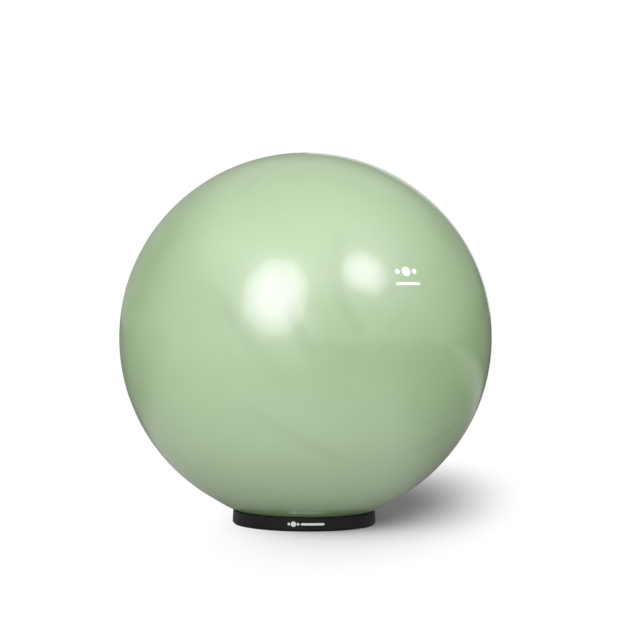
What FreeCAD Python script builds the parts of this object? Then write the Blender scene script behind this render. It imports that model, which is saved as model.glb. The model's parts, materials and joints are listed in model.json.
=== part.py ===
import FreeCAD, Part

# Exercise ball resting in a low base ring, 65 cm across.
#
# Millimetres. The origin is on the floor, on the axis of the base ring. +Z is up and -Y is the front.
# Four separate pieces, one STEP file each:
#   ball_skin   hollow PVC sphere, with a thick moulded boss round its valve hole
#   valve_plug  barbed stopper that closes the valve hole
#   base_ring   moulded ring with a dished seat for the ball and stiffening ribs underneath
#   grip_ring   rubber sheet ring glued under the ribs, which stands on the floor
import math
import os

Vector = FreeCAD.Vector

# ---- Driving dimensions ----
BALL_R = 325.0
SKIN = 0.9
FLOOR_GAP = 0.5  # air under the lowest point of the ball
BALL_CENTRE_Z = BALL_R + FLOOR_GAP

# The valve is at one pole of the moulding, on the back of the ball. Degrees, from +X and above the horizon.
VALVE_AZIMUTH = 123.0
VALVE_ELEVATION = -20.5
BORE_R = 4.5
RECESS_R = 11.0  # holds the plug's flange below the surface
RECESS_DEPTH = 2.0
BOSS_R = 8.2
BOSS_DEPTH = 18.0
PAD_R = 16.0  # thick disc of skin under the recess
PAD_DEPTH = 4.4
PAD_TAPER = 5.0
RECESS_LIP_ROUND = 0.8
BORE_MOUTH_ROUND = 0.5
BOSS_END_ROUND = 1.2
BOSS_ROOT_ROUND = 2.5
PAD_ROUND = 1.5

PLUG_CLEARANCE = 0.05
FLANGE_R = 9.4
FLANGE_EDGE = 1.2
FLANGE_DOME = 0.45
BARB_COUNT = 3
BARB_PITCH = 5.0
BARB_SHOULDER = 2.0  # straight neck above each barb
FLANGE_ROUND = 0.4
NECK_R = 3.6
TIP_R = 2.8
TIP_LENGTH = 3.0
NOTCH_WIDTH = 5.0
NOTCH_DEPTH = 2.0

RING_OUTER_R = 125.0
RING_DRAFT = 0.8  # the outer wall leans in by this much towards its top
RING_INNER_R = 80.0
RING_WALL = 2.6
SEAT_GAP = 0.1
SEAT_R = BALL_R + SEAT_GAP
RIM_GAP = 1.3  # the flat top of the outer wall stays this far under the ball
OUTER_LIP_ROUND = 1.2
INNER_LIP_ROUND = 2.0
OUTER_FOOT_ROUND = 1.6
INNER_FOOT_ROUND = 0.8
RIM_Z = 2.0  # the ring's two walls end above the floor
RIB_COUNT = 20
RIB_WIDTH = 2.0
HOOP_R = 101.0
GROOVE_RADII = (90.0, 100.0, 110.0)
GROOVE_ROUND = 0.9

GRIP_THICK = 3.0
GRIP_GAP = 0.5
TREAD_COUNT = 4
TREAD_WIDTH = 3.0
TREAD_DEPTH = 1.2

BITE = 0.3  # how far the ribs reach into the walls they join
OVERLAP = 1.0  # how far a block reaches past the shape it is cut with


def at(r, z):
    """A point of an outline, r from the axis and z along it."""
    return Vector(r, 0, z)


def line(start, end):
    return Part.LineSegment(at(*start), at(*end)).toShape()


def polyline(points):
    return [line(a, b) for a, b in zip(points, points[1:])]


def on_circle(radius, centre_z, r, below):
    """Height at r of a circle centred on the axis, on its lower or its upper half."""
    rise = math.sqrt(radius**2 - r**2)
    return centre_z - rise if below else centre_z + rise


def polar_arc(radius, centre_z, r_start, r_end, below):
    """Arc of a circle centred on the axis, from r_start to r_end on one half of it."""
    points = [
        at(r, on_circle(radius, centre_z, r, below))
        for r in (r_start, (r_start + r_end) / 2, r_end)
    ]
    return Part.Arc(*points).toShape()


def far_arc(radius, r_end, flip):
    """Arc from the far pole, up round the equator, to r_end near the valve pole, or back if flip."""
    top = math.sqrt(radius**2 - r_end**2)
    points = [at(0, -radius), at(radius, 0), at(r_end, top)]
    return Part.Arc(*(reversed(points) if flip else points)).toShape()


def turned(edges):
    """Closed outline turned round the Z axis into a solid."""
    face = Part.Face(Part.Wire(Part.__sortEdges__(edges)))
    return face.revolve(Vector(0, 0, 0), Vector(0, 0, 1), 360)


def rounded(shape, radius, r, z):
    """Rounds the circular edge of radius r at height z."""
    near = 0.05

    def is_there(edge):
        box = edge.BoundBox
        return abs(box.XMax - r) < near and abs(box.ZMin - z) < near and abs(box.ZMax - z) < near

    return shape.makeFillet(radius, [edge for edge in shape.Edges if is_there(edge)])


def tube(outer_r, inner_r, z_low, z_high):
    """Plain ring with a rectangular section."""
    outer = Part.makeCylinder(outer_r, z_high - z_low, Vector(0, 0, z_low))
    inner = Part.makeCylinder(inner_r, z_high - z_low, Vector(0, 0, z_low))
    return outer.cut(inner)


def to_valve(shape):
    """Moves a shape made round +Z at the ball's centre so that +Z points out at the valve."""
    lean = FreeCAD.Rotation(Vector(0, 1, 0), 90 - VALVE_ELEVATION)
    turn = FreeCAD.Rotation(Vector(0, 0, 1), VALVE_AZIMUTH)
    moved = shape.copy()
    moved.Placement = FreeCAD.Placement(Vector(0, 0, BALL_CENTRE_Z), turn * lean)
    return moved


def ball_skin():
    """Hollow sphere whose wall thickens into a pad and a tube round the valve hole."""
    inner_r = BALL_R - SKIN
    lip_z = on_circle(BALL_R, 0, RECESS_R, below=False)
    recess_z = BALL_R - RECESS_DEPTH
    boss_z = BALL_R - BOSS_DEPTH
    pad_z = BALL_R - PAD_DEPTH
    pad_edge_r = PAD_R + PAD_TAPER
    pad_edge_z = on_circle(inner_r, 0, pad_edge_r, below=False)

    outside = far_arc(BALL_R, RECESS_R, flip=False)
    valve = polyline(
        [
            (RECESS_R, lip_z),
            (RECESS_R, recess_z),
            (BORE_R, recess_z),
            (BORE_R, boss_z),
            (BOSS_R, boss_z),
            (BOSS_R, pad_z),
            (PAD_R, pad_z),
            (pad_edge_r, pad_edge_z),
        ]
    )
    inside = far_arc(inner_r, pad_edge_r, flip=True)
    skin = turned([outside, *valve, inside, line((0, -inner_r), (0, -BALL_R))])
    for radius, r, z in (
        (RECESS_LIP_ROUND, RECESS_R, lip_z),
        (BORE_MOUTH_ROUND, BORE_R, recess_z),
        (BOSS_END_ROUND, BOSS_R, boss_z),
        (BOSS_ROOT_ROUND, BOSS_R, pad_z),
        (PAD_ROUND, PAD_R, pad_z),
    ):
        skin = rounded(skin, radius, r, z)
    return to_valve(skin)


def plug_outline():
    """Outline of the plug, from the middle of the flange's dome round to the middle of the tip."""
    flange_low = BALL_R - RECESS_DEPTH + PLUG_CLEARANCE
    flange_high = flange_low + FLANGE_EDGE
    dome_top = flange_high + FLANGE_DOME
    barb_r = BORE_R - PLUG_CLEARANCE
    # Halfway out, a dome this shallow has come down by a quarter of its height.
    shoulder_of_dome = at(FLANGE_R / 2, dome_top - FLANGE_DOME / 4)
    dome = Part.Arc(at(0, dome_top), shoulder_of_dome, at(FLANGE_R, flange_high))

    outline = [(FLANGE_R, flange_high), (FLANGE_R, flange_low)]
    for k in range(BARB_COUNT):
        z = flange_low - k * BARB_PITCH
        shoulder = z - BARB_SHOULDER
        outline += [(NECK_R, z), (NECK_R, shoulder), (barb_r, shoulder)]
    stem_end = flange_low - BARB_COUNT * BARB_PITCH
    tip = stem_end - TIP_LENGTH
    outline += [(NECK_R, stem_end), (TIP_R, tip), (0, tip), (0, dome_top)]
    return [dome.toShape(), *polyline(outline)]


def valve_plug():
    """Stopper with a domed flange, conical barbs and a notch to lift it by."""
    plug = turned(plug_outline())
    flange_high = BALL_R - RECESS_DEPTH + PLUG_CLEARANCE + FLANGE_EDGE
    plug = rounded(plug, FLANGE_ROUND, FLANGE_R, flange_high)
    notch = Part.makeBox(
        NOTCH_DEPTH + OVERLAP,
        NOTCH_WIDTH,
        RECESS_DEPTH,
        Vector(FLANGE_R - NOTCH_DEPTH, -NOTCH_WIDTH / 2, BALL_R - RECESS_DEPTH),
    )
    return to_valve(plug.cut(notch))


def seat_z(r):
    """Height of the seat at r, which follows the ball with a small gap."""
    return on_circle(SEAT_R, BALL_CENTRE_Z, r, below=True)


def ring_shell():
    """The ring's walls and its dished seat, with a level rim outside the seat."""
    under_r = SEAT_R + RING_WALL
    top_r = RING_OUTER_R - RING_DRAFT
    rim_top = seat_z(top_r) - RIM_GAP
    seat_edge_r = math.sqrt(SEAT_R**2 - (BALL_CENTRE_Z - rim_top) ** 2)
    wall_out = RING_OUTER_R - RING_WALL
    wall_out_top = top_r - RING_WALL
    wall_in = RING_INNER_R + RING_WALL
    ceiling_out = on_circle(under_r, BALL_CENTRE_Z, wall_out_top, below=True)
    ceiling_in = on_circle(under_r, BALL_CENTRE_Z, wall_in, below=True)

    seat = polar_arc(SEAT_R, BALL_CENTRE_Z, RING_INNER_R, seat_edge_r, below=True)
    ceiling = polar_arc(under_r, BALL_CENTRE_Z, wall_out_top, wall_in, below=True)
    outer = polyline(
        [
            (seat_edge_r, rim_top),
            (top_r, rim_top),
            (RING_OUTER_R, RIM_Z),
            (wall_out, RIM_Z),
            (wall_out_top, ceiling_out),
        ]
    )
    inner = polyline(
        [
            (wall_in, ceiling_in),
            (wall_in, RIM_Z),
            (RING_INNER_R, RIM_Z),
            (RING_INNER_R, seat_z(RING_INNER_R)),
        ]
    )
    shell = turned([seat, *outer, ceiling, *inner])
    for radius, r, z in (
        (OUTER_LIP_ROUND, top_r, rim_top),
        (INNER_LIP_ROUND, RING_INNER_R, seat_z(RING_INNER_R)),
        (OUTER_FOOT_ROUND, RING_OUTER_R, RIM_Z),
        (INNER_FOOT_ROUND, RING_INNER_R, RIM_Z),
    ):
        shell = rounded(shell, radius, r, z)
    for r in GROOVE_RADII:
        groove = Part.makeTorus(r, GROOVE_ROUND, Vector(0, 0, seat_z(r)))
        shell = shell.cut(groove)
    return shell


def ring_ribs():
    """Radial ribs and one hoop, filling the hollow from the grip ring up to the seat."""
    r_in = RING_INNER_R + RING_WALL - BITE
    r_out = RING_OUTER_R - RING_WALL + BITE
    under_r = SEAT_R + RING_WALL - BITE
    hollow = turned(
        [
            polar_arc(under_r, BALL_CENTRE_Z, r_in, r_out, below=True),
            *polyline(
                [
                    (r_out, on_circle(under_r, BALL_CENTRE_Z, r_out, below=True)),
                    (r_out, GRIP_THICK),
                    (r_in, GRIP_THICK),
                    (r_in, on_circle(under_r, BALL_CENTRE_Z, r_in, below=True)),
                ]
            ),
        ]
    )
    height = on_circle(under_r, BALL_CENTRE_Z, r_out, below=True)
    corner = Vector(r_in - OVERLAP, -RIB_WIDTH / 2, 0)
    blank = Part.makeBox(r_out - r_in + 2 * OVERLAP, RIB_WIDTH, height, corner)
    bars = [tube(HOOP_R + RIB_WIDTH / 2, HOOP_R - RIB_WIDTH / 2, 0, height)]
    for k in range(RIB_COUNT):
        bar = blank.copy()
        bar.rotate(Vector(0, 0, 0), Vector(0, 0, 1), 360 * k / RIB_COUNT)
        bars.append(bar)
    return hollow.common(bars[0].multiFuse(bars[1:]))


def base_ring():
    return ring_shell().fuse(ring_ribs()).removeSplitter()


def grip_ring():
    """Flat rubber ring with round treads cut in its underside."""
    r_out = RING_OUTER_R - RING_WALL - GRIP_GAP
    r_in = RING_INNER_R + RING_WALL + GRIP_GAP
    sheet = tube(r_out, r_in, 0, GRIP_THICK)
    step = (r_out - r_in) / (TREAD_COUNT + 1)
    for k in range(1, TREAD_COUNT + 1):
        r = r_in + k * step
        tread = tube(r + TREAD_WIDTH / 2, r - TREAD_WIDTH / 2, 0, TREAD_DEPTH)
        sheet = sheet.cut(tread)
    return sheet


PIECES = {
    "ball_skin": ball_skin,
    "valve_plug": valve_plug,
    "base_ring": base_ring,
    "grip_ring": grip_ring,
}

os.makedirs("parts", exist_ok=True)
for name, make in PIECES.items():
    solid = make()
    solid.exportStep(os.path.join("parts", name + ".step"))
    print(f"{name}: {len(solid.Solids)} solid, {solid.Volume / 1000:.1f} cm3, valid {solid.isValid()}")
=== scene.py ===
import json
import math

import bmesh
import bpy
from mathutils import Matrix, Vector, noise


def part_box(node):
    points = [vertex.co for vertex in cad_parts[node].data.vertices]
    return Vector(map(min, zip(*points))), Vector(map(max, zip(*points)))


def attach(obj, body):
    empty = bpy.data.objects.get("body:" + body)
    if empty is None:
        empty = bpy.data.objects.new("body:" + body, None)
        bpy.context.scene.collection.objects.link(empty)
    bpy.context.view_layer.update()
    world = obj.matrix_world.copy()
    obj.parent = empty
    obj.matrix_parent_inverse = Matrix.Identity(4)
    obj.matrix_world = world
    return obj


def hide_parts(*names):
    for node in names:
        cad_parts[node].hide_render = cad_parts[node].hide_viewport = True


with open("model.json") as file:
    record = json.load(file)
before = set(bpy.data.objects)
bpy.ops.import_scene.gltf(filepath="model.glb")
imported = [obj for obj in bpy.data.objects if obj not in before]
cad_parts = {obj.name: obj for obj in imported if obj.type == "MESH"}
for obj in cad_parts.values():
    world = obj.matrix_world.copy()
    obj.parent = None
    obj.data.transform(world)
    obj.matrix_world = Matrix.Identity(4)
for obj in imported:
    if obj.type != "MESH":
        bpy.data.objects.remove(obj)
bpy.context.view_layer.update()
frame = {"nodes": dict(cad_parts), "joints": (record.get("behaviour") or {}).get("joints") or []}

# ---- Sizes and places from the frame, in metres ----
ball_low, ball_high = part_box("ball_skin")
ring_low, ring_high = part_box("base_ring")
plug_pull = next(joint for joint in frame["joints"] if joint["name"] == "plug_pull")

BALL_R = round(max(ball_high - ball_low) / 2, 3)
BALL_CENTRE = Vector((0, 0, (ball_low.z + ball_high.z) / 2))
RING_R = round(ring_high.x, 3)
VALVE_AXIS = Vector(plug_pull["axis"]).normalized()

# ---- The ball's skin ----
SKIN = 0.0009
RECESS_R = 0.011
RECESS_DEPTH = 0.0021
BORE_R = 0.0045
BOSS_R = 0.0082
BOSS_DEPTH = 0.018
PAD_R = 0.016
PAD_DEPTH = 0.0044
PAD_TAPER = 0.005
SEGMENTS = 256
OUTER_STEPS = 150
INNER_STEPS = 40
ROUND_STEPS = 5
SHARP_EDGE = math.radians(40)  # edges that turn by more stay sharp
TINY = 0.000001  # lengths below this count as nothing

# The moulded skin is not a perfect sphere: it has wide shallow dents, which only go inwards.
DENT_DEPTH = 0.0007
DENT_SCALE = 3.2
RIPPLE_DEPTH = 0.0004
RIPPLE_SCALE = 9.0
RIPPLE_SHIFT = Vector((7, 3, 5))  # keeps the ripples' noise apart from the dents'
CALM_NEAR_VALVE = (math.radians(3), math.radians(12))

# Its own weight flattens it a little above and below, but not where the ring carries it.
SAG = 0.0024
SAG_FROM = (-0.93, -0.86)  # height over the centre, as a share of the radius

# ---- Flow streaks of the vinyl: rings round each pole ----
STREAK_FIRST = math.radians(8.2)  # from the pole to the first ring
STREAK_PITCH = math.radians(14.5)  # from ring to ring
STREAK_WAVE = (0.3, 1.0)  # the part of the wave from ring to ring that shows as a streak
STREAK_WANDER = 0.20  # radians by which a ring moves as the noise goes from 0 to 1
WANDER_SCALE = 1.1
STREAK_SIDE = math.radians(188)  # where the rings show most, measured round the pole
SIDE_WEIGHT = 0.13  # how much more they show there
STREAK_BREAKS = (0.49, 0.68)  # noise breaks the rings up: they show above these values
BREAK_SCALE = 1.7
STREAK_REACH = (math.cos(math.radians(70)), math.cos(math.radians(52)))  # they fade out between these
STREAK_DEPTH = 0.46
STREAK_DRIFT = math.radians(9)  # the fourth ring is off centre: away from the pole by this much
DRIFT_SIDE = math.radians(120)  # on this side, and towards the pole on the other
DRIFT_INWARD = 0.28  # all of it also sits nearer to the pole, by this share of the drift
DRIFT_INNER = (math.radians(40), math.radians(49))  # the drift starts between these angles from the pole
DRIFT_OUTER = (math.radians(76), math.radians(60))  # and has ended at the first of these

# ---- Finishes ----
NOISE_SPAN = (0.3, 0.7)  # most values of a noise node lie in here
VINYL_PEEL = 0.00002  # heights of the relief, in metres
PLASTIC_GRAIN = 0.00004
RUBBER_GRAIN = 0.00012
SCUFF_DEPTH = 0.00003
INK_WEAVE = 0.00002
LIP_RUB = (0.0022, 0.0002)  # depth below the ring's top at which rubbing starts and is full
FOOT_RUB = 0.0016  # height up to which its foot is rubbed

# ---- The base ring's outer wall ----
RING_DRAFT = 0.0008  # leans in by this much towards its top

# ---- Printed marks ----
INK_THICK = 0.00012
INK_SUNK = 0.00004
BALL_MARK_SIZE = 0.050
RING_MARK_SIZE = 0.066
RING_MARK_TURN = math.radians(2)  # to the right of the front
# Places, lengths and radii, all as shares of the mark's size.
BALL_MARK_DOTS = ((-0.34, 0.09), (0, 0.17), (0.34, 0.09))
BALL_DOTS_UP = 0.16
BALL_BAR_DOWN = 0.27
BALL_BAR = (0.86, 0.05)
RING_MARK_DOTS = ((-0.46, 0.035), (-0.34, 0.07), (-0.22, 0.035))
RING_BAR_RIGHT = 0.16
RING_BAR = (0.56, 0.03)

# ---- Lights: azimuth and elevation in degrees, distance, width and height in metres, power in watts ----
SOFTBOXES = {
    "key": (-18.0, 25.2, 1.8, 1.14, 1.50, 9.4),
    "small": (39.0, 36.2, 1.8, 0.80, 0.79, 3.1),
}
FILLS = {  # reach only matt colour and make no highlights
    "left": (-66, 21, 1.8, 2.60, 2.60, 11.9),
    "right": (62, 29, 1.8, 2.40, 2.40, 12.0),
}
LAMP_COLOUR = (1.0, 0.84, 1.10)  # of the mirrored ones; the fills are white
HOT_CORE = 0.34  # share of a softbox's width that its lamp lights fully
BORDER = 0.40  # brightness of the cloth at the border
MEAN_GLOW = 0.55  # average over the whole rectangle, which keeps the power true
CLOTH_EDGE = 0.94  # the cloth ends between here and the border

# ---- Room: brightness by direction, as the ball reflects it ----
ROOM_FRONT = 0.64
ROOM_SIDE = 0.24
ROOM_TURN = (-0.5, 0.6)  # share of the way to the back at which one becomes the other
ROOM_LEFT = 0.14  # added behind the left of the ball
LEFT_FROM = (0.62, 0.92)  # share of the way to the back
LEFT_SIDE = (0.2, -0.2)  # share of the way to the right
ROOM_HIGH = 0.50  # added above it
HIGH_MATT = 0.5  # share of that which lights matt colour
HIGH_FROM = (0.35, 0.80)  # sine of the elevation
BACKDROP = 0.75
BACKDROP_START = (math.radians(159), math.radians(170))  # on the right, measured from the front
BACKDROP_TOP = (0.40, 0.24)  # sine of the elevation: it fades in from the first down to the second
DARK_SIDE = (math.radians(90), math.radians(142))  # the right of the room goes dark from here back
DARK_TOP = (0.20, 0.06)  # sine of the elevation: it fades in from the first down to the second
DARK_SHARE = 0.6

# ---- Floor ----
FLOOR_HALF = 30.0  # half the length of its sides
FLOOR_COLOUR = 0.63
FLOOR_MOTTLE = 0.01
PAINTED_SHADOW_TOWARDS = (0.8, 0.6, 0)  # painted shadow: the floor's own colour gets darker towards the back right, where the ball's shadow falls
PAINTED_SHADOW_FROM = (0.0, 0.4)  # between these distances that way
# how much of the floor's colour the painted shadow takes away
PAINTED_SHADOW_SHARE = 0.58
SWEEP_FRONT = 0.60  # brightness of the floor away from the ball, as the ball reflects it
SWEEP_BACK = 0.20
SWEEP_TURN = (-0.6, 0.6)  # it goes from one to the other between these distances to the back
SWEEP_START = (0.35, 1.0)  # it takes over from the floor's own colour between these distances
SWEEP_START_MATT = (0.22, 0.80)  # the same for matt colour
SWEEP_RIGHT = (0.1, 1.0)  # it fades between these distances to the right
SWEEP_DIM = 0.45  # what is left of it there
SWEEP_FAR = (0.1, 0.9)  # there it gets lighter again between these distances to the back
SWEEP_RISE = 0.38
SWEEP_FALL = (1.8, 0.9)  # and darker beyond
SWEEP_MATT = 1.9  # times as bright for matt colour
SHADOW_AT = (0.131, 0.28)  # middle of the part that the camera sees in its true tone
SHADOW_LEAN = 0.13  # it runs away from the camera and to the right
SHADOW_STRETCH = 0.28  # lengths along it count this much, which makes it long
SHADOW_EDGES = (0.05, 0.285)  # it turns white between these distances from its middle

# ---- Camera ----
CAMERA_DISTANCE = 4.2
CAMERA_ELEVATION = math.radians(2.5)
CAMERA_ROLL = math.radians(0.5)
CAMERA_LENS = 135.25
SENSOR = 36.0  # width in millimetres, as the lens
AIM_RIGHT = 0.0249  # it looks past the ball's middle by this much
AIM_UP = 0.0306


# =====================================================================================
# Small helpers
# =====================================================================================


def direction(azimuth, elevation):
    """Unit vector towards a place round the ball: azimuth 0 is the front and 90 is +X, in degrees."""
    a, e = math.radians(azimuth), math.radians(elevation)
    return Vector((math.sin(a) * math.cos(e), -math.cos(a) * math.cos(e), math.sin(e)))


def smooth(low, high, value):
    """0 below low, 1 above high, and an S-curve between them."""
    t = min(1.0, max(0.0, (value - low) / (high - low)))
    return t * t * (3 - 2 * t)


def frame_on(axis):
    """Rotation whose Z is axis and whose X is level."""
    z = axis.normalized()
    x = Vector((0, 0, 1)).cross(z).normalized()
    return Matrix((x, z.cross(x), z)).transposed()


def add_object(name, build):
    """New object whose mesh is what build puts in an empty bmesh."""
    mesh = bpy.data.meshes.new(name)
    bm = bmesh.new()
    build(bm)
    bmesh.ops.recalc_face_normals(bm, faces=bm.faces)
    for face in bm.faces:
        face.smooth = True
    bm.to_mesh(mesh)
    bm.free()
    mesh.set_sharp_from_angle(angle=SHARP_EDGE)
    piece = bpy.data.objects.new(name, mesh)
    bpy.context.scene.collection.objects.link(piece)
    return piece


# =====================================================================================
# The ball's skin
# =====================================================================================


def dent(towards):
    """How far the skin lies inside the true sphere in one direction from the ball's centre."""
    angle = towards.angle(VALVE_AXIS)
    wide = 0.5 + 0.5 * noise.noise(towards * DENT_SCALE)
    ripple = 0.5 + 0.5 * noise.noise(towards * RIPPLE_SCALE + RIPPLE_SHIFT)
    sag = SAG * towards.z**2 * smooth(*SAG_FROM, towards.z)
    depth = DENT_DEPTH * wide + RIPPLE_DEPTH * ripple + sag
    return depth * smooth(*CALM_NEAR_VALVE, angle)


def skin_radius(towards):
    """Distance from the ball's centre to the outside of the skin."""
    return BALL_R - dent(towards)


def fillet(corner, before, after, radius):
    """Points that round the corner of an outline, which turns from before, through corner, to after."""
    a, b, c = Vector(before), Vector(corner), Vector(after)
    u, v = (a - b).normalized(), (c - b).normalized()
    half = u.angle(v) / 2
    back = radius / math.tan(half)
    start, end = b + u * back, b + v * back
    middle = b + (u + v).normalized() * (radius / math.sin(half))
    points = []
    for k in range(ROUND_STEPS + 1):
        spoke = (start - middle).slerp(end - middle, k / ROUND_STEPS) * radius
        points.append(tuple(middle + spoke))
    return points


def skin_outline():
    """Section of the skin as (r, z) round the valve axis, from the far pole, outside first."""
    inner_r = BALL_R - SKIN
    lip = math.asin(RECESS_R / BALL_R)
    lip_z = BALL_R * math.cos(lip)
    recess_z = BALL_R - RECESS_DEPTH
    boss_z = BALL_R - BOSS_DEPTH
    pad_z = BALL_R - PAD_DEPTH
    pad_edge = math.asin((PAD_R + PAD_TAPER) / inner_r)
    outside = math.pi - lip

    points = []
    for k in range(OUTER_STEPS):
        a = math.pi - outside * k / OUTER_STEPS
        points.append((BALL_R * math.sin(a), BALL_R * math.cos(a)))
    corners = [  # each with the radius that rounds it
        ((RECESS_R, lip_z), 0.0009),
        ((RECESS_R, recess_z), 0.0004),
        ((BORE_R, recess_z), 0.0004),
        ((BORE_R, boss_z), 0.0006),
        ((BOSS_R, boss_z), 0.0012),
        ((BOSS_R, pad_z), 0.0025),
        ((PAD_R, pad_z), 0.0015),
    ]
    pad_edge_point = (inner_r * math.sin(pad_edge), inner_r * math.cos(pad_edge))
    path = [points[-1], *(corner for corner, _ in corners), pad_edge_point]
    for k, (corner, radius) in enumerate(corners):
        points += fillet(corner, path[k], path[k + 2], radius)
    for k in range(INNER_STEPS + 1):
        a = pad_edge + (math.pi - pad_edge) * k / INNER_STEPS
        points.append((inner_r * math.sin(a), inner_r * math.cos(a)))
    return points


def build_skin(bm):
    """Turns the outline round the valve axis and presses the dents into it."""
    turn = frame_on(VALVE_AXIS)
    rings = []
    for r, z in skin_outline():
        count = 1 if r < TINY else SEGMENTS
        ring = []
        for k in range(count):
            a = 2 * math.pi * k / SEGMENTS
            local = turn @ Vector((r * math.cos(a), r * math.sin(a), z))
            pressed = local - local.normalized() * dent(local.normalized())
            ring.append(bm.verts.new(BALL_CENTRE + pressed))
        rings.append(ring)
    for a, b in zip(rings, rings[1:]):
        for k in range(SEGMENTS):
            j = (k + 1) % SEGMENTS
            corners = [a[k % len(a)], a[j % len(a)], b[j % len(b)], b[k % len(b)]]
            bm.faces.new(list(dict.fromkeys(corners)))


# =====================================================================================
# Printed marks: thin films of ink that follow the surface under them
# =====================================================================================


def lozenge(bm, place, centre, length, radius):
    """One round-ended bar of ink, or a dot if length is 0. place(u, v, lift) gives a point of the film."""
    along, across = 36, 8
    reach = length / 2 + radius
    layers = []
    for lift in (INK_THICK, -INK_SUNK):
        rows = []
        for i in range(along + 1):
            s = -reach * math.cos(math.pi * i / along)
            past = max(0.0, abs(s) - length / 2)
            half = math.sqrt(max(0.0, radius**2 - past**2))
            row = []
            for j in range(across + 1):
                v = half * (2 * j / across - 1)
                row.append(bm.verts.new(place(centre[0] + s, centre[1] + v, lift)))
            rows.append(row)
        layers.append(rows)
    top, under = layers
    for rows in layers:
        for a, b in zip(rows, rows[1:]):
            for j in range(across):
                bm.faces.new([a[j], a[j + 1], b[j + 1], b[j]])
    rim = [(i, 0) for i in range(along + 1)] + [(i, across) for i in range(along, -1, -1)]
    for (i, j), (m, n) in zip(rim, rim[1:] + rim[:1]):
        bm.faces.new([top[i][j], top[m][n], under[m][n], under[i][j]])


def finish_film(bm):
    bmesh.ops.remove_doubles(bm, verts=bm.verts, dist=TINY)
    bmesh.ops.dissolve_degenerate(bm, edges=bm.edges, dist=TINY)


def on_ball(u, v, lift):
    """Point of the ball's mark, u to the right and v up from its middle, along the surface."""
    turn = frame_on(-VALVE_AXIS)
    towards = turn @ Vector((u, v, BALL_R))
    towards.normalize()
    return BALL_CENTRE + towards * (skin_radius(towards) + lift)


def on_ring(u, v, lift):
    """Point of the ring's mark, u round the front of the wall and v up from its middle."""
    a = u / RING_R + RING_MARK_TURN
    z = (ring_low.z + ring_high.z) / 2 + v
    up_wall = (z - ring_low.z) / (ring_high.z - ring_low.z)
    r = RING_R - RING_DRAFT * up_wall + lift
    return Vector((r * math.sin(a), -r * math.cos(a), z))


def build_ball_mark(bm):
    """Three dots, the middle one larger, over a bar."""
    size = BALL_MARK_SIZE
    for u, radius in BALL_MARK_DOTS:
        lozenge(bm, on_ball, (u * size, BALL_DOTS_UP * size), 0, radius * size)
    length, radius = BALL_BAR
    lozenge(bm, on_ball, (0, -BALL_BAR_DOWN * size), length * size, radius * size)
    finish_film(bm)


def build_ring_mark(bm):
    """The same dots, with the bar beside them."""
    size = RING_MARK_SIZE
    for u, radius in RING_MARK_DOTS:
        lozenge(bm, on_ring, (u * size, 0), 0, radius * size)
    length, radius = RING_BAR
    lozenge(bm, on_ring, (RING_BAR_RIGHT * size, 0), length * size, radius * size)
    finish_film(bm)


# =====================================================================================
# Materials
# =====================================================================================


class Nodes:
    """Builds a node tree, with a short call for each kind of node: a new material's, or the tree given."""

    def __init__(self, name=None, tree=None):
        if tree is None:
            self.material = bpy.data.materials.new(name)
            self.material.use_nodes = True
            tree = self.material.node_tree
        self.tree = tree
        self.shader = tree.nodes.get("Principled BSDF")

    def put(self, socket, value):
        """Feeds a socket with another socket's output, a colour of three numbers or a plain value."""
        if isinstance(value, bpy.types.NodeSocket):
            self.tree.links.new(value, socket)
        elif socket.type == "RGBA" and value is not None:
            socket.default_value = (*value, 1)
        elif value is not None:
            socket.default_value = value

    def add(self, kind, inputs=(), **settings):
        """New node of a kind, with its settings and its inputs, which are given by name or number."""
        made = self.tree.nodes.new(kind)
        for key, value in settings.items():
            setattr(made, key, value)
        for key, value in dict(inputs).items():
            self.put(made.inputs[key], value)
        return made

    def math(self, operation, a, b=None, c=None):
        made = self.add("ShaderNodeMath", {0: a, 1: b, 2: c}, operation=operation)
        return made.outputs[0]

    def vector(self, operation, a, b=None, c=None):
        made = self.add("ShaderNodeVectorMath", {0: a, 1: b, 2: c}, operation=operation)
        return made.outputs["Value" if operation in ("LENGTH", "DOT_PRODUCT") else "Vector"]

    def place(self):
        """The point being shaded, in the row frame."""
        return self.add("ShaderNodeTexCoord").outputs["Object"]

    def noise(self, where, scale, detail, roughness=0.5):
        """Smooth random value, mostly inside NOISE_SPAN."""
        inputs = {"Vector": where, "Scale": scale, "Detail": detail, "Roughness": roughness}
        return self.add("ShaderNodeTexNoise", inputs).outputs[0]

    def range(self, value, low, high, out_low=0.0, out_high=1.0):
        """value from low to high becomes out_low to out_high, smoothly and without passing them."""
        inputs = {"Value": value, "From Min": low, "From Max": high, "To Min": out_low, "To Max": out_high}
        return self.add("ShaderNodeMapRange", inputs, interpolation_type="SMOOTHSTEP").outputs[0]

    def choose(self, switch, off, on):
        """Number off where switch is 0 and on where it is 1."""
        made = self.add("ShaderNodeMix", data_type="FLOAT")
        self.put(made.inputs[0], switch)
        self.put(made.inputs[2], off)
        self.put(made.inputs[3], on)
        return made.outputs[0]

    def blend(self, share, a, b):
        """Colour a where share is 0 and b where it is 1."""
        made = self.add("ShaderNodeMix", data_type="RGBA")
        self.put(made.inputs[0], share)
        self.put(made.inputs[6], a)
        self.put(made.inputs[7], b)
        return made.outputs[2]

    def bump(self, height, distance, strength=1.0):
        inputs = {"Height": height, "Distance": distance, "Strength": strength}
        return self.add("ShaderNodeBump", inputs).outputs[0]

    def shade(self, **values):
        """Sets the Principled node's inputs; a name's underscores stand for spaces."""
        for key, value in values.items():
            self.put(self.shader.inputs[key.replace("_", " ")], value)
        return self.material


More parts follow.
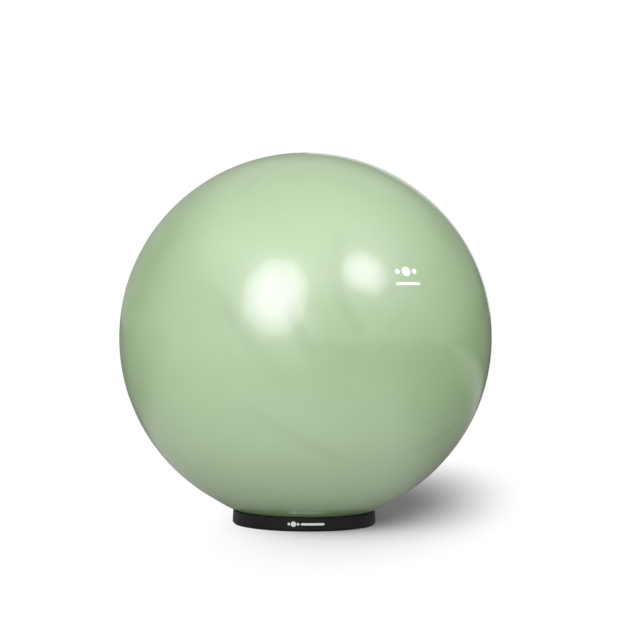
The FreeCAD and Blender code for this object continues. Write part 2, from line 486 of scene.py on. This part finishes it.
def flow_streaks(n, towards):
    """Strength of the streaks by direction: rings round the mould's two poles."""
    x, y, z = n.add("ShaderNodeSeparateXYZ", {0: towards}).outputs
    height = n.math("ABSOLUTE", z)
    from_pole = n.math("ARCCOSINE", height)
    around = n.math("ARCTAN2", y, x)

    wander = n.math("SUBTRACT", n.noise(towards, WANDER_SCALE, 1.0), 0.5)
    warped = n.math("MULTIPLY_ADD", wander, STREAK_WANDER, from_pole)
    lean = n.math("COSINE", n.math("SUBTRACT", around, DRIFT_SIDE))
    drift = n.range(from_pole, *DRIFT_INNER, 0.0, STREAK_DRIFT)
    drift = n.math("MULTIPLY", n.math("SUBTRACT", DRIFT_INWARD, lean), drift)
    warped = n.math("MULTIPLY_ADD", drift, n.range(from_pole, *DRIFT_OUTER), warped)

    turns = n.math("MULTIPLY", n.math("SUBTRACT", warped, STREAK_FIRST), 2 * math.pi / STREAK_PITCH)
    rings = n.range(n.math("COSINE", turns), *STREAK_WAVE)
    side = n.math("COSINE", n.math("SUBTRACT", around, STREAK_SIDE))
    uneven = n.math("MULTIPLY_ADD", side, SIDE_WEIGHT, n.noise(towards, BREAK_SCALE, 1.0))
    broken = n.math("MULTIPLY", rings, n.range(uneven, *STREAK_BREAKS))
    return n.math("MULTIPLY", broken, n.range(height, *STREAK_REACH))


def vinyl():
    """Pearlescent green PVC, with soft darker flow streaks and a fine orange peel."""
    plain = (0.295, 0.459, 0.204)
    pale = (0.313, 0.480, 0.227)
    deep = (0.237, 0.377, 0.159)
    n = Nodes("vinyl")
    turn = frame_on(-VALVE_AXIS).to_euler()
    inputs = {"Vector": n.place(), "Location": BALL_CENTRE, "Rotation": turn}
    local = n.add("ShaderNodeMapping", inputs, vector_type="TEXTURE").outputs[0]
    towards = n.vector("NORMALIZE", local)
    streak = flow_streaks(n, towards)
    cloud = n.noise(towards, 2.6, 3.0)
    colour = n.blend(n.range(cloud, 0.35, 0.68), plain, pale)
    colour = n.blend(n.math("MULTIPLY", streak, STREAK_DEPTH), colour, deep)
    peel = n.noise(local, 260.0, 1.0)
    return n.shade(
        Base_Color=colour,
        Roughness=n.range(cloud, *NOISE_SPAN, 0.34, 0.42),
        IOR=1.9,
        Specular_IOR_Level=0.8,
        Coat_Weight=1.0,
        Coat_IOR=1.7,
        Coat_Roughness=n.range(cloud, *NOISE_SPAN, 0.085, 0.115),
        Normal=n.bump(peel, VINYL_PEEL),
    )


def black_plastic():
    """Satin black moulded plastic with a fine spark-eroded grain, rubbed paler along its lip and foot."""
    n = Nodes("black_plastic")
    place = n.place()
    z = n.add("ShaderNodeSeparateXYZ", {0: place}).outputs[2]
    grain = n.noise(place, 1400.0, 2.0)
    cloud = n.noise(place, 22.0, 4.0, 0.6)
    lip = n.range(z, ring_high.z - LIP_RUB[0], ring_high.z - LIP_RUB[1])
    foot = n.range(z, ring_low.z + FOOT_RUB, ring_low.z)
    edge = n.math("MAXIMUM", lip, foot)
    rub = n.math("MULTIPLY", edge, n.range(n.noise(place, 90.0, 3.0), 0.45, 0.7))
    colour = n.blend(cloud, (0.003, 0.003, 0.0034), (0.005, 0.0049, 0.0055))
    colour = n.blend(n.math("MULTIPLY", rub, 0.4), colour, (0.03, 0.03, 0.032))
    rough = n.range(cloud, *NOISE_SPAN, 0.36, 0.44)
    return n.shade(
        Base_Color=colour,
        Roughness=n.math("MULTIPLY_ADD", rub, -0.08, rough),
        Specular_IOR_Level=0.32,
        Normal=n.bump(grain, PLASTIC_GRAIN, 0.6),
    )


def rubber():
    """Matt black rubber with a coarse cast texture and a little dust."""
    n = Nodes("rubber")
    place = n.place()
    dust = n.range(n.noise(place, 60.0, 4.0, 0.7), 0.5, 0.75)
    grain = n.noise(place, 900.0, 3.0, 0.7)
    return n.shade(
        Base_Color=n.blend(n.math("MULTIPLY", dust, 0.35), (0.018, 0.018, 0.018), (0.09, 0.088, 0.083)),
        Roughness=n.range(dust, 0.0, 1.0, 0.72, 0.92),
        Specular_IOR_Level=0.35,
        Normal=n.bump(grain, RUBBER_GRAIN),
    )


def polythene():
    """Off-white polythene, slightly waxy, with faint flow lines and scuffs."""
    n = Nodes("polythene")
    place = n.place()
    cloud = n.noise(place, 160.0, 3.0)
    scuff = n.range(n.noise(place, 700.0, 4.0, 0.7), 0.58, 0.72)
    colour = n.blend(cloud, (0.74, 0.75, 0.70), (0.84, 0.85, 0.81))
    return n.shade(
        Base_Color=n.blend(n.math("MULTIPLY", scuff, 0.25), colour, (0.55, 0.55, 0.52)),
        Roughness=n.range(cloud, *NOISE_SPAN, 0.30, 0.42),
        Subsurface_Weight=0.15,
        Subsurface_Radius=(0.004, 0.004, 0.003),
        Subsurface_Scale=0.3,
        Normal=n.bump(scuff, SCUFF_DEPTH),
    )


def white_ink():
    """Screen-printed white ink, with the faint weave of the screen in it."""
    n = Nodes("white_ink")
    place = n.place()
    cloud = n.noise(place, 300.0, 3.0)
    screen = n.noise(place, 3000.0, 1.0)
    return n.shade(
        Base_Color=n.blend(cloud, (0.86, 0.88, 0.86), (0.93, 0.94, 0.93)),
        Roughness=n.range(cloud, *NOISE_SPAN, 0.30, 0.45),
        Normal=n.bump(screen, INK_WEAVE),
    )


def give(piece, material):
    """Makes material the piece's only one."""
    piece.data.materials.clear()
    piece.data.materials.append(material)


# =====================================================================================
# Stage: floor, lights, camera
# =====================================================================================


def shadow_cut(n, x, y):
    """0 where the camera sees the floor's true tone, round the shadow, and 1 where it sees white."""
    back = n.math("SUBTRACT", y, SHADOW_AT[1])
    middle = n.math("MULTIPLY_ADD", back, SHADOW_LEAN, SHADOW_AT[0])
    parts = {0: n.math("SUBTRACT", x, middle), 1: n.math("MULTIPLY", back, SHADOW_STRETCH)}
    from_middle = n.add("ShaderNodeCombineXYZ", parts).outputs[0]
    return n.range(n.vector("LENGTH", from_middle), *SHADOW_EDGES)


def floor_sweep(n, x, y, matt):
    """Brightness of the floor away from the ball, as the ball reflects it."""
    sweep = n.range(y, *SWEEP_TURN, SWEEP_FRONT, SWEEP_BACK)
    sweep = n.math("MULTIPLY", sweep, n.range(x, *SWEEP_RIGHT, 1.0, SWEEP_DIM))
    rise = n.math("MULTIPLY", n.range(y, *SWEEP_FAR, 0.0, SWEEP_RISE), n.range(x, *SWEEP_RIGHT))
    rise = n.math("MULTIPLY", rise, n.range(y, *SWEEP_FALL))
    return n.math("MULTIPLY", n.math("ADD", sweep, rise), n.choose(matt, 1.0, SWEEP_MATT))


def add_floor():
    """Pale floor with a painted shadow towards the back right; the camera sees it as plain white outside
    the shadow.
    """
    mesh = bpy.data.meshes.new("floor")
    half = FLOOR_HALF
    corners = [(-half, -half, 0), (half, -half, 0), (half, half, 0), (-half, half, 0)]
    mesh.from_pydata(corners, [], [(0, 1, 2, 3)])
    floor = bpy.data.objects.new("floor", mesh)
    bpy.context.scene.collection.objects.link(floor)

    n = Nodes("floor")
    place = n.place()
    x, y, _ = n.add("ShaderNodeSeparateXYZ", {0: place}).outputs
    paper = n.noise(place, 4.0, 3.0)
    tone = n.range(paper, *NOISE_SPAN, FLOOR_COLOUR - FLOOR_MOTTLE, FLOOR_COLOUR + FLOOR_MOTTLE)
    # painted shadow: the floor's colour is darkened towards the back right, where the ball's shadow falls
    behind = n.vector("DOT_PRODUCT", place, PAINTED_SHADOW_TOWARDS)
    tone = n.math("MULTIPLY", tone, n.range(behind, *PAINTED_SHADOW_FROM, 1.0, 1.0 - PAINTED_SHADOW_SHARE))
    colour = n.add("ShaderNodeCombineColor", {0: tone, 1: tone, 2: tone}).outputs[0]
    n.shade(Base_Color=colour, Roughness=0.9, Specular_IOR_Level=0.0)

    path = n.add("ShaderNodeLightPath").outputs
    seen = path["Is Camera Ray"]
    matt = path["Is Diffuse Ray"]
    away = n.vector("LENGTH", place)
    far = n.choose(matt, n.range(away, *SWEEP_START), n.range(away, *SWEEP_START_MATT))
    share = n.choose(seen, far, shadow_cut(n, x, y))
    strength = n.choose(seen, floor_sweep(n, x, y, matt), 1.0)
    glow = n.add("ShaderNodeEmission", {"Color": (1, 1, 1), "Strength": strength})
    mix = n.add("ShaderNodeMixShader", {0: share, 1: n.shader.outputs[0], 2: glow.outputs[0]})
    n.put(n.tree.nodes["Material Output"].inputs["Surface"], mix.outputs[0])
    mesh.materials.append(n.material)


def light_cloth(data):
    """Makes an area light an octagonal softbox: a bright middle, a dimmer border and cut-off corners."""
    data.use_nodes = True
    n = Nodes(tree=data.node_tree)
    across = n.add("ShaderNodeNewGeometry").outputs["Parametric"]
    centred = n.vector("ABSOLUTE", n.vector("MULTIPLY_ADD", across, (2, 2, 0), (-1, -1, 0)))
    u, v, _ = n.add("ShaderNodeSeparateXYZ", {0: centred}).outputs
    corner = n.math("MULTIPLY", n.math("ADD", u, v), math.sqrt(0.5))
    out = n.math("MAXIMUM", n.math("MAXIMUM", u, v), corner)
    glow = n.math("MULTIPLY", n.range(out, HOT_CORE, 1.0, 1.0, BORDER), n.range(out, 1.0, CLOTH_EDGE))
    n.put(n.tree.nodes["Emission"].inputs["Strength"], n.math("DIVIDE", glow, MEAN_GLOW))


def add_softbox(name, mirrored, azimuth, elevation, distance, width, height, power):
    """Softbox that faces the ball, and that glossy surfaces mirror or not."""
    data = bpy.data.lights.new(name, "AREA")
    data.shape = "RECTANGLE"
    data.size = width
    data.size_y = height
    data.energy = power
    light_cloth(data)
    lamp = bpy.data.objects.new(name, data)
    towards = direction(azimuth, elevation)
    lamp.location = BALL_CENTRE + towards * distance
    lamp.rotation_mode = "QUATERNION"
    lamp.rotation_quaternion = (-towards).to_track_quat("-Z", "Y")
    lamp.visible_camera = False
    lamp.visible_glossy = mirrored
    if mirrored:
        data.color = LAMP_COLOUR
    bpy.context.scene.collection.objects.link(lamp)


def add_world():
    """White behind the object for the camera; for everything else a dim room with a white backdrop."""
    world = bpy.data.worlds.new("studio")
    world.use_nodes = True
    bpy.context.scene.world = world
    n = Nodes(tree=world.node_tree)
    towards = n.add("ShaderNodeTexCoord").outputs["Generated"]
    x, y, z = n.add("ShaderNodeSeparateXYZ", {0: towards}).outputs
    path = n.add("ShaderNodeLightPath").outputs
    turned = n.math("ARCTAN2", x, n.math("MULTIPLY", y, -1.0))

    walls = n.range(y, *ROOM_TURN, ROOM_FRONT, ROOM_SIDE)
    left = n.math("MULTIPLY", n.range(y, *LEFT_FROM, 0.0, ROOM_LEFT), n.range(x, *LEFT_SIDE))
    dark = n.math("MULTIPLY", n.range(turned, *DARK_SIDE), n.range(z, *DARK_TOP, 0.0, -DARK_SHARE))
    room = n.math("MULTIPLY", n.math("ADD", walls, left), n.math("ADD", dark, 1.0))
    ceiling = n.choose(path["Is Diffuse Ray"], ROOM_HIGH, ROOM_HIGH * HIGH_MATT)
    room = n.math("ADD", room, n.range(z, *HIGH_FROM, 0.0, ceiling))
    sheet = n.math("MULTIPLY", n.range(turned, *BACKDROP_START), n.range(z, *BACKDROP_TOP))
    lit = n.math("MAXIMUM", room, n.math("MULTIPLY", sheet, BACKDROP))
    background = world.node_tree.nodes["Background"]
    n.put(background.inputs["Strength"], n.math("MAXIMUM", lit, path["Is Camera Ray"]))
    n.put(background.inputs["Color"], (1, 1, 1))


def add_camera():
    """Camera in front, a little above the ball's middle, aimed so that the ball sits left of centre."""
    data = bpy.data.cameras.new("camera")
    data.sensor_width = SENSOR
    data.lens = CAMERA_LENS
    camera = bpy.data.objects.new("camera", data)
    back = direction(0, math.degrees(CAMERA_ELEVATION))
    up = Vector((0, math.sin(CAMERA_ELEVATION), math.cos(CAMERA_ELEVATION)))
    aim = BALL_CENTRE + Vector((1, 0, 0)) * AIM_RIGHT + up * AIM_UP
    camera.location = BALL_CENTRE + back * CAMERA_DISTANCE
    look = (aim - camera.location).to_track_quat("-Z", "Y").to_matrix()
    camera.rotation_euler = (look @ Matrix.Rotation(CAMERA_ROLL, 3, "Z")).to_euler()
    bpy.context.scene.collection.objects.link(camera)
    bpy.context.scene.camera = camera


# =====================================================================================
# Putting it together
# =====================================================================================

skin = add_object("ball_vinyl_skin", build_skin)
give(skin, vinyl())
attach(skin, "ball")
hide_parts("ball_skin")

ink = white_ink()
for name, build, body in (
    ("ball_mark", build_ball_mark, "ball"),
    ("ring_mark", build_ring_mark, "base"),
):
    mark = add_object(name, build)
    give(mark, ink)
    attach(mark, body)

give(frame["nodes"]["valve_plug"], polythene())
give(frame["nodes"]["base_ring"], black_plastic())
give(frame["nodes"]["grip_ring"], rubber())

add_floor()
add_world()
for name, settings in SOFTBOXES.items():
    add_softbox(name, True, *settings)
for name, settings in FILLS.items():
    add_softbox(name, False, *settings)
add_camera()
bpy.context.scene.view_settings.view_transform = "Standard"
